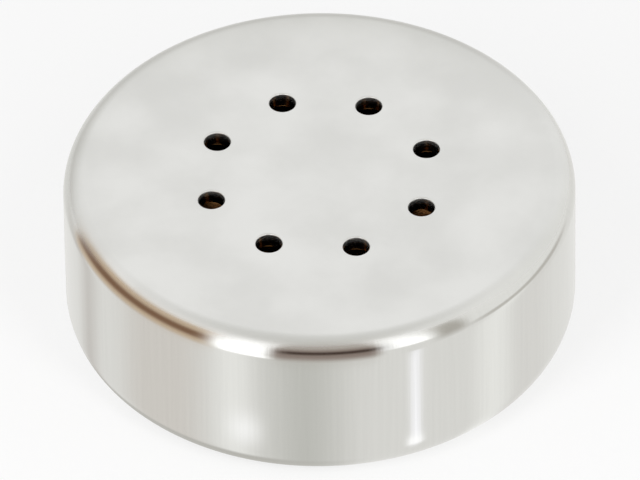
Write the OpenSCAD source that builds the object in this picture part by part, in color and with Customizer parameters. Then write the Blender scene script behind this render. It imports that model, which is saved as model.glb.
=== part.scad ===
// Leadless electret microphone capsule: a drawn can with a pierced face and a curled rim, which
// clamps a diaphragm, a spacer, a back plate and a small impedance-converter board.
// The origin is the centre of the rim's rear face, and +Z points out of the sound holes.

/* [Can] */
// Outside diameter of the can
can_d = 6; // [5.6:0.1:8]
// Thickness of the drawn sheet
can_wall = 0.2; // [0.14:0.01:0.25]
// Inside bend radius between the face and the wall
front_bend_r = 0.05; // [0.03:0.01:0.1]
// Inside bend radius where the wall curls over the board
rim_bend_r = 0.2; // [0.1:0.01:0.25]
// Width of the curled rim, from the outside of the can to the lip's edge
rim_w = 0.65; // [0.55:0.01:0.75]

/* [Sound holes] */
// Number of sound holes
hole_count = 8; // [4:1:12]
// Diameter of one sound hole
hole_d = 0.31; // [0.2:0.01:0.4]
// Diameter of the circle that the holes lie on
hole_circle_d = 2.66; // [2:0.01:3.4]

/* [Diaphragm] */
// Height of the ring that stretches the diaphragm
ring_h = 0.3; // [0.2:0.01:0.5]
// Radial width of that ring
ring_w = 0.5; // [0.3:0.05:0.7]
// Thickness of the diaphragm film
diaphragm_t = 0.015; // [0.005:0.005:0.03]
// Thickness of the spacer, which is the air gap
spacer_t = 0.03; // [0.02:0.005:0.06]
// How far the spacer reaches in over the back plate
spacer_overlap = 0.2; // [0.1:0.05:0.3]

/* [Back plate] */
// Thickness of the back plate
plate_t = 0.2; // [0.1:0.01:0.3]
// Thickness of the electret film on the back plate
electret_t = 0.025; // [0.015:0.005:0.04]
// Number of air holes in the back plate
plate_hole_count = 6; // [3:1:8]
// Diameter of one air hole
plate_hole_d = 0.4; // [0.2:0.05:0.6]
// Diameter of the circle of air holes
plate_hole_circle_d = 2.4; // [1.8:0.1:2.8]

/* [Holder and gate ring] */
// Height of the chamber between the board and the back plate
chamber_h = 0.7; // [0.6:0.01:0.9]
// Radial thickness of the holder around the back plate
holder_wall = 0.38; // [0.3:0.01:0.5]
// Width of the holder's ledge under the back plate
ledge_w = 0.18; // [0.12:0.01:0.25]
// Radial width of the gate ring
gate_ring_w = 0.3; // [0.2:0.01:0.35]
// Edge chamfer of the gate ring, the diaphragm ring and the holder
ring_chamfer = 0.03; // [0.01:0.01:0.05]

/* [Board] */
// Thickness of the bare board
board_t = 0.4; // [0.3:0.05:0.6]
// Thickness of the copper on both faces
copper_t = 0.03; // [0.02:0.005:0.05]
// Width of the copper tracks
track_w = 0.25; // [0.15:0.01:0.35]
// How far the rear ground ring shows inside the rim
ground_reveal = 0.15; // [0.05:0.01:0.2]
// Angle between the three bridges from the ground pad to the ground ring
bridge_step = 40; // [30:1:50]
// Diameter of the rear terminal pads
pad_d = 1.5; // [1.2:0.05:1.8]
// Distance between the centres of the two terminal pads
pad_pitch = 2.2; // [2:0.05:2.4]
// Diameter of the plated posts through the board
post_d = 0.3; // [0.2:0.05:0.4]
// How far the solder terminals stay inside the rim
terminal_recess = 0.05; // [0.02:0.01:0.08]
// Bare copper left around a solder terminal
terminal_margin = 0.06; // [0.02:0.01:0.1]

/* [Transistor] */
// Length of the moulded body, along its lead row
body_l = 1.2; // [1:0.05:1.4]
// Width of the moulded body
body_w = 0.8; // [0.6:0.05:0.9]
// Height of the moulded body
body_h = 0.42; // [0.3:0.01:0.5]
// Gap between the moulded body and the copper
body_standoff = 0.03; // [0.01:0.01:0.05]
// How far each side of the body leans in towards its top and its base
body_draft = 0.04; // [0.01:0.01:0.06]
// Width of a lead
lead_w = 0.22; // [0.15:0.01:0.3]
// Thickness of a lead
lead_t = 0.08; // [0.05:0.01:0.1]
// Reach of a lead beyond the body
lead_reach = 0.25; // [0.22:0.01:0.3]
// Length of a lead's foot
lead_foot = 0.16; // [0.12:0.01:0.18]
// Straight length of a lead between the body and its slope
lead_shoulder = 0.03; // [0.01:0.01:0.04]
// Length of lead held inside the moulding
lead_grip = 0.15; // [0.1:0.01:0.2]
// Distance between the two leads of a row
lead_pitch = 0.8; // [0.7:0.05:0.9]

/* [Capacitors] */
// Length of a chip capacitor
cap_l = 1; // [0.9:0.05:1.1]
// Width of a chip capacitor
cap_w = 0.5; // [0.4:0.05:0.6]
// Height of a chip capacitor
cap_h = 0.5; // [0.4:0.05:0.55]
// Radius of a chip capacitor's tumbled edges
cap_edge_r = 0.05; // [0.02:0.01:0.06]
// Length of a plated end
cap_end_l = 0.2; // [0.15:0.01:0.25]
// Thickness of the plating on an end
cap_plating_t = 0.02; // [0.01:0.005:0.04]
// Gap between neighbouring components
component_gap = 0.16; // [0.12:0.01:0.2]

/* [Solder and fits] */
// Foot and height of the solder fillets at the capacitors' ends
end_solder = 0.14; // [0.08:0.01:0.16]
// Foot and height of the solder fillets at the leads' toes
toe_solder = 0.07; // [0.04:0.01:0.08]
// Copper left bare around a soldered foot
land_margin = 0.04; // [0.02:0.01:0.06]
// Radial clearance between the stacked pieces and the can, inside the bends
stack_gap = 0.01; // [0.005:0.005:0.03]
// Radial clearance of the back plate and the gate ring in the holder
plate_gap = 0.03; // [0.01:0.01:0.05]

/* [Hidden] */
$fn = 96;
overlap = 0.01;
dome_bands = 6;

// Radii, from the can inwards
can_r = can_d / 2;
cavity_r = can_r - can_wall;
lip_r = can_r - rim_w;
stack_r = cavity_r - front_bend_r - stack_gap;
board_r = cavity_r - rim_bend_r - stack_gap;
plate_r = stack_r - holder_wall - plate_gap;
spacer_hole_r = plate_r - spacer_overlap;
gate_out_r = plate_r - ledge_w;
gate_in_r = gate_out_r - gate_ring_w;
ground_ring_r = lip_r - ground_reveal;
pad_x = pad_pitch / 2;
terminal_r = pad_d / 2 - terminal_margin;

// Levels, from the rim's rear face forwards
board_z = can_wall + copper_t;
board_top = board_z + board_t;
track_top = board_top + copper_t;
plate_z = board_top + chamber_h;
electret_z = plate_z + plate_t;
spacer_z = electret_z + electret_t;
diaphragm_z = spacer_z + spacer_t;
ring_z = diaphragm_z + diaphragm_t;
face_z = ring_z + ring_h;
can_h = face_z + can_wall;
terminal_h = can_wall - terminal_recess;

// The row of components across the chamber: transistor, first capacitor, second capacitor
row_l = 2 * lead_reach + body_w + 2 * (component_gap + cap_w);
transistor_y = row_l / 2 - lead_reach - body_w / 2;
toe_y = transistor_y - body_w / 2 - lead_reach;
cap_ys = [for (i = [0, 1]) toe_y - component_gap - cap_w / 2 - i * (cap_w + component_gap)];
lead_x = lead_pitch / 2;
lead_exit_z = body_standoff + (body_h - lead_t) / 2;

// The copper lands under that row
land_in_x = min(cap_l / 2 - cap_end_l, lead_x - lead_w / 2) - land_margin;
land_out_x = max(cap_l / 2 + end_solder, lead_x + lead_w / 2) + land_margin;
land_in_y = cap_ys[1] - cap_w / 2 - land_margin;
land_out_y = toe_y + lead_foot + land_margin;
post_land_d = post_d + 2 * land_margin;

// Half section of a closed cup: a rectangle beside the axis with its two outer corners rounded
module rounded_section(r, h, r_top, r_base) {
    difference() {
        square([r, h]);
        translate([r - r_top, h - r_top]) corner(r_top);
        translate([r - r_base, r_base]) mirror([0, 1]) corner(r_base);
    }
}

// What a round of radius r takes off an outer corner, with the round's centre at the origin
module corner(r) {
    difference() {
        square(r + overlap);
        circle(r);
    }
}

// A flat ring from radius r_in to radius r_out, standing on level z
module washer(r_out, r_in, z, h) {
    translate([0, 0, z]) linear_extrude(h) difference() {
        circle(r_out);
        circle(r_in);
    }
}

// A ring of rectangular section with all four edges chamfered
module chamfered_ring(r_out, r_in, z, h, c) {
    translate([0, 0, z]) rotate_extrude() polygon([
        [r_in + c, 0], [r_out - c, 0], [r_out, c], [r_out, h - c],
        [r_out - c, h], [r_in + c, h], [r_in, h - c], [r_in, c]
    ]);
}

// A rectangle with four rounded corners, centred on the origin
module rounded_rectangle(a, b, r) {
    difference() {
        square([a, b], center = true);
        for (x = [0, 1], y = [0, 1])
            mirror([x, 0]) mirror([0, y]) translate([a / 2 - r, b / 2 - r]) corner(r);
    }
}

// A block with all its edges rounded, centred on the origin
module tumbled_block(l, w, h, r) {
    intersection() {
        linear_extrude(h, center = true) rounded_rectangle(l, w, r);
        rotate([90, 0, 0]) linear_extrude(w, center = true) rounded_rectangle(l, h, r);
        rotate([90, 0, 90]) linear_extrude(l, center = true) rounded_rectangle(w, h, r);
    }
}

// A strip of thickness t centred on a bent line, round on the outside of its bends
module bent_strip(line, t) {
    for (i = [0:len(line) - 2]) {
        step = line[i + 1] - line[i];
        translate(line[i]) rotate(atan2(step[1], step[0]))
            translate([0, -t / 2]) square([norm(step), t]);
    }
    for (i = [1:len(line) - 2]) translate(line[i]) circle(d = t);
}

// Children repeated on a circle, the first half a step round from +X
module on_circle(count, circle_d) {
    for (i = [0:count - 1])
        rotate((i + 0.5) * 360 / count) translate([circle_d / 2, 0]) children();
}

// One drawn sheet: flat pierced face, rounded front edge, straight wall and rim curled inwards
module can() {
    color("gainsboro") difference() {
        rotate_extrude() difference() {
            rounded_section(can_r, can_h, front_bend_r + can_wall, rim_bend_r + can_wall);
            translate([0, can_wall])
                rounded_section(cavity_r, can_h - 2 * can_wall, front_bend_r, rim_bend_r);
            translate([0, -overlap]) square([lip_r, can_wall + 2 * overlap]);
        }
        translate([0, 0, face_z - overlap]) linear_extrude(can_wall + 2 * overlap)
            on_circle(hole_count, hole_circle_d) circle(d = hole_d);
    }
}

module diaphragm_ring() {
    color("palegoldenrod")
        chamfered_ring(stack_r, stack_r - ring_w, ring_z, ring_h, ring_chamfer);
}

module diaphragm() {
    color("goldenrod") translate([0, 0, diaphragm_z]) cylinder(r = stack_r, h = diaphragm_t);
}

module spacer() {
    color("ivory") washer(stack_r, spacer_hole_r, spacer_z, spacer_t);
}

// The pierced disc that the back plate and the film on it share
module plate_disc(z, h) {
    translate([0, 0, z]) linear_extrude(h) difference() {
        circle(plate_r);
        on_circle(plate_hole_count, plate_hole_circle_d) circle(d = plate_hole_d);
    }
}

module electret_film() {
    color("whitesmoke") plate_disc(electret_z, electret_t);
}

module back_plate() {
    color("darkkhaki") plate_disc(plate_z, plate_t);
}

// The back plate sits in the holder's upper bore, and the ledge below carries the plate's rim
module plate_holder() {
    ledge_r = gate_out_r + plate_gap;
    bore_r = plate_r + plate_gap;
    top_h = spacer_z - board_top;
    c = ring_chamfer;
    color("dimgray") translate([0, 0, board_top]) rotate_extrude() polygon([
        [ledge_r + c, 0], [stack_r - c, 0], [stack_r, c], [stack_r, top_h - c],
        [stack_r - c, top_h], [bore_r + c, top_h], [bore_r, top_h - c],
        [bore_r, chamber_h], [ledge_r + c, chamber_h], [ledge_r, chamber_h - c], [ledge_r, c]
    ]);
}

module gate_ring() {
    color("khaki")
        chamfered_ring(gate_out_r, gate_in_r, track_top, plate_z - track_top, ring_chamfer);
}

module circuit_board() {
    color("darkgreen") translate([0, 0, board_z]) linear_extrude(board_t) difference() {
        circle(board_r);
        for (side = [-1, 1]) translate([side * pad_x, 0]) circle(d = post_d);
    }
}

// Copper ring under the gate ring, with a tail to the gate lead's foot
module gate_track() {
    tail_w = lead_w + 2 * land_margin;
    tail_y = row_l / 2 - lead_foot - land_margin;
    color("peru") translate([0, 0, board_top]) linear_extrude(copper_t) {
        difference() {
            circle(gate_out_r);
            circle(gate_in_r);
        }
        translate([-tail_w / 2, tail_y]) square([tail_w, gate_in_r + gate_ring_w / 2 - tail_y]);
    }
}

// Front land, post through the board and round rear pad of one terminal, on the +X side
module terminal_copper() {
    translate([0, 0, board_top]) linear_extrude(copper_t) {
        translate([land_in_x, land_in_y])
            square([land_out_x - land_in_x, land_out_y - land_in_y]);
        translate([land_in_x, -track_w / 2]) square([pad_x - land_in_x, track_w]);
        translate([pad_x, 0]) circle(d = post_land_d);
    }
    translate([pad_x, 0, can_wall]) cylinder(d = pad_d, h = copper_t);
    translate([pad_x, 0, can_wall]) cylinder(d = post_d, h = track_top - can_wall);
}

module output_copper() {
    color("peru") terminal_copper();
}

// The ground pad also runs out, by a fan of bridges, to the ring that the rim presses on
module ground_copper() {
    color("peru") {
        mirror([1, 0, 0]) terminal_copper();
        translate([0, 0, can_wall]) linear_extrude(copper_t) {
            difference() {
                circle(board_r);
                circle(ground_ring_r);
            }
            intersection() {
                circle((board_r + ground_ring_r) / 2);
                translate([-pad_x, 0]) union() {
                    for (a = [-bridge_step, 0, bridge_step])
                        rotate(180 + a) translate([0, -track_w / 2]) square([board_r, track_w]);
                }
            }
        }
    }
}

// Outline of the moulding with its sides leaning in from the parting line, standing on its base
module moulded_outline(w) {
    polygon([
        [body_draft - w / 2, 0], [w / 2 - body_draft, 0], [w / 2, body_h / 2],
        [w / 2 - body_draft, body_h], [body_draft - w / 2, body_h], [-w / 2, body_h / 2]
    ]);
}

module transistor_body() {
    color([0.16, 0.16, 0.17]) difference() {
        translate([0, transistor_y, track_top + body_standoff]) intersection() {
            rotate([90, 0, 0]) linear_extrude(body_w, center = true) moulded_outline(body_l);
            rotate([90, 0, 90]) linear_extrude(body_l, center = true) moulded_outline(body_w);
        }
        lead(0, 1);
        lead(lead_x, -1);
        lead(-lead_x, -1);
    }
}

// Places a side view of width w, drawn outwards from the body's side, at a lead's position
module at_lead(x, side, w) {
    translate([x, transistor_y + side * body_w / 2, track_top])
        rotate([90, 0, side * 90]) linear_extrude(w, center = true) children();
}

// A formed lead: grip inside the moulding, shoulder, slope and foot
module lead(x, side) {
    half_t = lead_t / 2;
    heel = lead_reach - lead_foot;
    at_lead(x, side, lead_w) bent_strip([
        [-lead_grip, lead_exit_z + half_t], [lead_shoulder + half_t, lead_exit_z + half_t],
        [heel + half_t, half_t], [lead_reach, half_t]
    ], lead_t);
}

module gate_lead() {
    color("silver") lead(0, 1);
}

module drain_lead() {
    color("silver") lead(lead_x, -1);
}

module source_lead() {
    color("silver") lead(-lead_x, -1);
}

// The ceramic block of capacitor i, held by its plated ends just above the copper
module capacitor_block(i) {
    inset = 2 * cap_plating_t;
    translate([0, cap_ys[i], track_top + cap_h / 2])
        tumbled_block(cap_l - inset, cap_w - inset, cap_h - inset, cap_edge_r);
}

// The two plated ends of capacitor i, each a five-sided cap over the block
module capacitor_caps(i) {
    difference() {
        translate([0, cap_ys[i], track_top + cap_h / 2]) intersection() {
            tumbled_block(cap_l, cap_w, cap_h, cap_edge_r);
            for (side = [-1, 1]) translate([side * (cap_l - cap_end_l) / 2, 0, 0])
                cube([cap_end_l, cap_w, cap_h], center = true);
        }
        capacitor_block(i);
    }
}

module capacitor_1() {
    color("tan") capacitor_block(0);
}

module capacitor_1_ends() {
    color("silver") capacitor_caps(0);
}

module capacitor_2() {
    color("tan") capacitor_block(1);
}

module capacitor_2_ends() {
    color("silver") capacitor_caps(1);
}

// Section of a solder fillet in the corner at the origin, hollowed by an arc
module fillet_section(size) {
    bow = 1.2;
    difference() {
        polygon([[0, 0], [size, 0], [0, size]]);
        translate([bow * size, bow * size]) circle(size * norm([bow, bow - 1]));
    }
}

module component_solder() {
    color("lightgray") {
        at_lead(0, 1, lead_w) translate([lead_reach, 0]) fillet_section(toe_solder);
        for (x = [-lead_x, lead_x])
            at_lead(x, -1, lead_w) translate([lead_reach, 0]) fillet_section(toe_solder);
        for (y = cap_ys, turn = [0, 180])
            translate([0, y, track_top]) rotate([90, 0, turn])
                linear_extrude(cap_w, center = true)
                    translate([cap_l / 2, 0]) fillet_section(end_solder);
    }
}

// A domed solder terminal on a rear pad: a shallow cap of a ball in bands, bulging rearwards but
// short of the rim's face
module solder_dome(side) {
    dome_r = (terminal_r * terminal_r + terminal_h * terminal_h) / (2 * terminal_h);
    half_angle = asin(terminal_r / dome_r);
    angles = [for (i = [0:dome_bands]) half_angle * (1 - i / dome_bands)];
    arc = [for (a = angles) [dome_r * sin(a), dome_r * (cos(half_angle) - cos(a))]];
    translate([side * pad_x, 0, can_wall]) rotate_extrude() polygon(concat([[0, 0]], arc));
}

module output_terminal() {
    color("lightgray") solder_dome(1);
}

module ground_terminal() {
    color("lightgray") solder_dome(-1);
}

can();
diaphragm_ring();
diaphragm();
spacer();
electret_film();
back_plate();
plate_holder();
gate_ring();
circuit_board();
gate_track();
output_copper();
ground_copper();
transistor_body();
gate_lead();
drain_lead();
source_lead();
capacitor_1();
capacitor_1_ends();
capacitor_2();
capacitor_2_ends();
component_solder();
output_terminal();
ground_terminal();
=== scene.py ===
"""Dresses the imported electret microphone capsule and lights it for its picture.

The frame's solids stay where they are. The round pieces are made again here as fine surfaces of
the same form, the other solids keep their own meshes, and every piece gets a finish of its own.
Lengths are in metres, and +Z runs from the curled rear rim to the pierced sound face.
"""

import logging
import math
from dataclasses import dataclass
from enum import Enum

import bmesh
import bpy
import numpy as np
from mathutils import Matrix, Vector
from numpy.typing import NDArray


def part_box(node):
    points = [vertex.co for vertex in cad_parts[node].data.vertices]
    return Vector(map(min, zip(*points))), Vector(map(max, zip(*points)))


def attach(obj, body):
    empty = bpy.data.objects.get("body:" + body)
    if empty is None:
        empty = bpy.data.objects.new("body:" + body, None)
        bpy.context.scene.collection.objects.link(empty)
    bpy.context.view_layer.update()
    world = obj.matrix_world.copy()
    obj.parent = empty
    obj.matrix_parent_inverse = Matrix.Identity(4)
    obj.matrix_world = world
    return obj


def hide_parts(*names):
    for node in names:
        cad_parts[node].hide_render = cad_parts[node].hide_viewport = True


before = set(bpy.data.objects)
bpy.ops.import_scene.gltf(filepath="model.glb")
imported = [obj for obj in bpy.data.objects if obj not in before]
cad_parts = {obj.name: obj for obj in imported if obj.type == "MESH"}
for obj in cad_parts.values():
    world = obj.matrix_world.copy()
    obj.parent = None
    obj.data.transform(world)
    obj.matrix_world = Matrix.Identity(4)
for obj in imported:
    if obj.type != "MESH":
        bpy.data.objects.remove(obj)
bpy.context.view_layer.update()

Array = NDArray[np.float64]
Indices = NDArray[np.int64]
Point = tuple[float, float]
Colour = tuple[float, float, float]
Node = bpy.types.Node
Socket = bpy.types.NodeSocket
Tree = bpy.types.NodeTree

LOG = logging.getLogger("capsule")
BODY = "root"
MM = 0.001
FULL_TURN = 360.0
HALF_TURN = 180.0
ZENITH = 90.0
UP = np.array((0.0, 0.0, 1.0))
# Columns of a full turn: a multiple of every number of sectors, so that all the edges meet.
COLUMNS = 288
# Equal parts of a flat ring, of a whole disc, of a small corner and of a sheared or punched edge.
FLAT_STEPS = 8
DISC_STEPS = 24
CORNER_STEPS = 4
EDGE_STEPS = 5
# Points that are closer than this are welded.
WELD = 1e-8
# Least cover that a card's colour is divided by.
TRACE = 1e-6
SHARP_ANGLE = math.radians(32.0)


def arc(centre: Point, radius: float, start: float, end: float, steps: int = CORNER_STEPS) -> Array:
    """Circle points: the centre plus radius times (cos, sin) of evenly spaced angles.

    Args:
        centre: middle of the circle in the profile plane, as (radius, height).
        radius: radius of the circle.
        start: first angle in degrees.
        end: last angle in degrees.
        steps: number of equal parts.

    Returns:
        steps + 1 points of the profile plane.
    """
    angle = np.radians(np.linspace(start, end, steps + 1))
    return np.array(centre) + radius * np.column_stack((np.cos(angle), np.sin(angle)))


def run(start: Point, end: Point, steps: int = FLAT_STEPS) -> Array:
    """Straight points: start plus an even share of the way to end.

    Args:
        start: first point.
        end: last point.
        steps: number of equal parts.

    Returns:
        steps + 1 points of the profile plane.
    """
    return np.linspace(start, end, steps + 1)


def lifted(flat: Array, height: Array | float) -> Array:
    """Plane points given one height, or a height each."""
    level = np.broadcast_to(height, flat.shape[:-1])
    return np.concatenate((flat, level[..., None]), axis=-1)


def revolved(profile: Array, columns: int = COLUMNS) -> Array:
    """Surface of revolution: (r cos t, r sin t, z) for each profile point (r, z) and angle t.

    Args:
        profile: points as (radius, height).
        columns: number of angles in the full turn.

    Returns:
        A grid of points, angles by profile points by 3, with the first angle repeated.
    """
    spokes = arc((0.0, 0.0), 1.0, 0.0, FULL_TURN, columns)
    return lifted(profile[None, :, :1] * spokes[:, None], profile[:, 1])


def turned(points: Array, degrees: float) -> Array:
    """Points turned about +Z: (c x - s y, s x + c y, z) with the angle's cosine c and sine s.

    Args:
        points: any grid of points by 3.
        degrees: the angle.

    Returns:
        A grid of the same shape.
    """
    c, s = math.cos(math.radians(degrees)), math.sin(math.radians(degrees))
    x, y, z = points[..., 0], points[..., 1], points[..., 2]
    return np.stack((c * x - s * y, s * x + c * y, z), axis=-1)


def outward(azimuth: Array | float, elevation: Array | float = 0.0) -> Array:
    """Unit vectors (sin a cos e, -cos a cos e, sin e): azimuth 0 points to -Y and 90 to +X.

    Args:
        azimuth: angles a in degrees.
        elevation: angles e above the floor in degrees.

    Returns:
        The vectors, in the shape of the angles by 3.
    """
    a, e = np.broadcast_arrays(np.radians(azimuth), np.radians(elevation))
    return np.stack((np.sin(a) * np.cos(e), -np.cos(a) * np.cos(e), np.sin(e)), axis=-1)


def cells(rows: int, columns: int) -> Indices:
    """Four corners of each cell of a grid whose points are counted row by row.

    Args:
        rows: number of rows of points.
        columns: number of points in a row.

    Returns:
        Corner numbers, cells by 4.
    """
    index = np.arange(rows * columns).reshape(rows, columns)
    corners = (index[:-1, :-1], index[1:, :-1], index[1:, 1:], index[:-1, 1:])
    return np.stack(corners, axis=-1).reshape(-1, 4)


def placed(name: str, data: bpy.types.ID) -> bpy.types.Object:
    """Adds an object to the scene.

    Args:
        name: name of the object.
        data: its mesh, lamp or camera.

    Returns:
        The new object, at the origin.
    """
    item = bpy.data.objects.new(name, data)
    bpy.context.scene.collection.objects.link(item)
    return item


class Skin:
    """Point grids that are welded along their shared edges into one closed surface."""

    def __init__(self) -> None:
        """Starts with no grid."""
        self.grids: list[Array] = []

    def add(self, *grids: Array) -> "Skin":
        """Adds grids of points, each rows by columns by 3, and returns the skin."""
        self.grids.extend(grids)
        return self

    def _quads(self) -> tuple[Array, Indices]:
        """Stacks the grids' points and the four corners of each of their cells.

        Returns:
            All points, and the corner numbers of all cells.
        """
        counts = [grid.shape[0] * grid.shape[1] for grid in self.grids]
        firsts = np.cumsum([0, *counts[:-1]])
        quads = [first + cells(*grid.shape[:2]) for first, grid in zip(firsts, self.grids)]
        points = np.concatenate([grid.reshape(-1, 3) for grid in self.grids])
        return points, np.concatenate(quads)

    def mesh(self, name: str) -> bpy.types.Mesh:
        """Welds equal points, drops empty cells and turns every face outwards.

        Args:
            name: name of the mesh.

        Returns:
            The closed mesh, smooth across shallow angles and sharp across steep ones.
        """
        points, quads = self._quads()
        keys = np.round(points / WELD).astype(np.int64)
        _, first, place = np.unique(keys, axis=0, return_index=True, return_inverse=True)
        quads = place.reshape(-1)[quads]
        repeated = quads == np.roll(quads, -1, axis=1)
        sides = 4 - repeated.sum(axis=1)
        whole = quads[sides == 4]
        thirds = quads[sides == 3][~repeated[sides == 3]].reshape(-1, 3)
        mesh = bpy.data.meshes.new(name)
        mesh.from_pydata(points[first], [], whole.tolist() + thirds.tolist())
        work = bmesh.new()
        work.from_mesh(mesh)
        bmesh.ops.recalc_face_normals(work, faces=work.faces)
        work.to_mesh(mesh)
        work.free()
        mesh.polygons.foreach_set("use_smooth", np.ones(len(mesh.polygons), dtype=bool))
        mesh.set_sharp_from_angle(angle=SHARP_ANGLE)
        mesh.update()
        return mesh


@dataclass(frozen=True)
class Piercing:
    """Equal round holes on a circle, and the flat ring of sectors that they lie in.

    Attributes:
        count: number of holes.
        circle: radius of the circle of their centres.
        radius: radius of a hole.
        first: angle of the first hole in degrees.
        sectors: number of equal sectors of the ring, a multiple of count.
        margin: width of the ring beyond the holes, inwards and outwards.
        side_steps: equal parts of a sector's straight sides.
        fill_steps: parts between a hole's edge and its sector's outline.
        fill_power: how much finer those parts are at the hole, where 1 is even.
    """

    count: int
    circle: float
    radius: float
    first: float
    sectors: int
    margin: float
    side_steps: int = 12
    fill_steps: int = 9
    fill_power: float = 1.5

    @property
    def inner(self) -> float:
        """Inner radius of the ring."""
        return self.circle - self.radius - self.margin

    @property
    def outer(self) -> float:
        """Outer radius of the ring."""
        return self.circle + self.radius + self.margin

    @property
    def half(self) -> float:
        """Half of a sector's angle in degrees."""
        return FULL_TURN / self.sectors / 2.0

    def _side(self, radius: float) -> Array:
        """Arc of one sector at a radius, with the hole on +X."""
        return arc((0.0, 0.0), radius, -self.half, self.half, COLUMNS // self.sectors)

    def _edge(self) -> Array:
        """Outlines one sector round its hole: outer arc, side, inner arc and side.

        Returns:
            A closed line of plane points, with the hole on +X.
        """
        far, near = self._side(self.outer), self._side(self.inner)[::-1]
        return np.concatenate((
            far,
            run(far[-1], near[0], self.side_steps)[1:],
            near[1:],
            run(near[-1], far[0], self.side_steps)[1:],
        ))

    def _spokes(self) -> Array:
        """Unit vectors from the hole's centre towards each point of the sector's outline."""
        away = self._edge() - np.array((self.circle, 0.0))
        return away / np.linalg.norm(away, axis=1, keepdims=True)

    def ring(self, height: float, rim: float) -> list[Array]:
        """Flat ring at one height: rim circle plus a growing share of the way to the outline.

        Args:
            height: height of the ring.
            rim: radius at which the ring stops round each hole.

        Returns:
            One grid for each sector, pierced or plain.
        """
        circle = np.array((self.circle, 0.0)) + rim * self._spokes()
        share = np.linspace(0.0, 1.0, self.fill_steps + 1)[None, :, None] ** self.fill_power
        pierced = lifted(circle[:, None] + share * (self._edge() - circle)[:, None], height)
        radii = np.linspace(self.inner, self.outer, self.side_steps + 1)
        plain = lifted(radii[None, :, None] * self._side(1.0)[:, None], height)
        holes = np.round(np.arange(self.count) * self.sectors / self.count).astype(int)
        return [
            turned(pierced if sector in holes else plain, self.first + 2.0 * self.half * sector)
            for sector in range(self.sectors)
        ]

    def tubes(self, profile: Array) -> list[Array]:
        """Hole walls: a profile (radius, height) carried round each hole's own axis.

        Args:
            profile: points of the wall from one face of the plate to the other.

        Returns:
            One grid for each hole.
        """
        flat = np.array((self.circle, 0.0)) + profile[None, :, :1] * self._spokes()[:, None]
        wall = lifted(flat, profile[:, 1])
        angles = self.first + np.arange(self.count) * FULL_TURN / self.count
        return [turned(wall, angle) for angle in angles]


def pierced_plate(profile: Array, piercing: Piercing, rounding: float) -> Skin:
    """Plate with a ring of holes, closed by an outer profile that runs from face to face.

    Args:
        profile: open profile from the upper face to the lower one, both at the ring's outer edge.
        piercing: the holes and their ring.
        rounding: radius of the edge where a hole meets a face.

    Returns:
        The skin of the plate.
    """
    upper, lower = profile[0, 1], profile[-1, 1]
    rim = piercing.radius + rounding
    wall = np.concatenate((
        arc((rim, upper - rounding), rounding, 90.0, 180.0, EDGE_STEPS),
        arc((rim, lower + rounding), rounding, 180.0, 270.0, EDGE_STEPS),
    ))
    skin = Skin().add(revolved(profile), *piercing.tubes(wall))
    for height in (upper, lower):
        middle = run((0.0, height), (piercing.inner, height), piercing.side_steps)
        skin.add(revolved(middle), *piercing.ring(height, rim))
    return skin


def ring_profile(inner: float, outer: float, low: float, high: float, rounding: float) -> Array:
    """Closed rectangle with rounded corners, as the section of a ring or, from 0, of a disc.

    Args:
        inner: inner radius, or 0 for a disc.
        outer: outer radius.
        low: lower height.
        high: upper height.
        rounding: radius of the corners.

    Returns:
        The section's points as (radius, height).
    """
    near, far = inner + rounding, outer - rounding
    base, top = low + rounding, high - rounding
    outside = np.concatenate((
        arc((far, base), rounding, -90.0, 0.0),
        arc((far, top), rounding, 0.0, 90.0),
    ))
    if inner == 0.0:
        return np.concatenate((
            run((0.0, low), outside[0], DISC_STEPS),
            outside,
            run(outside[-1], (0.0, high), DISC_STEPS),
        ))
    inside = np.concatenate((
        arc((near, top), rounding, 90.0, 180.0),
        arc((near, base), rounding, 180.0, 270.0),
    ))
    return np.concatenate((outside, inside, outside[:1]))


def levels(node: str) -> tuple[float, float, float]:
    """Outer radius, lowest height and highest height of a round CAD node."""
    low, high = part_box(node)
    return max(high.x, high.y, -low.x, -low.y), low.z, high.z


def ring_skin(node: str, bore: float, rounding: float) -> Skin:
    """Ring, or a disc where the bore is 0, at a CAD node's own radius and heights."""
    radius, low, high = levels(node)
    return Skin().add(revolved(ring_profile(bore, radius, low, high, rounding)))


def plate_skin(node: str, piercing: Piercing, rounding: float, hole_rounding: float) -> Skin:
    """Pierced disc at a CAD node's own radius and heights.

    Args:
        node: the CAD node.
        piercing: its holes and their ring.
        rounding: radius of the corners at its rim.
        hole_rounding: radius of the edge where a hole meets a face.

    Returns:
        The skin of the disc.
    """
    radius, low, high = levels(node)
    edge = radius - rounding
    profile = np.concatenate((
        run((piercing.outer, high), (edge, high))[:-1],
        arc((edge, high - rounding), rounding, 90.0, 0.0),
        arc((edge, low + rounding), rounding, 0.0, -90.0),
        run((edge, low), (piercing.outer, low))[1:],
    ))
    return pierced_plate(profile, piercing, hole_rounding)


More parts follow.
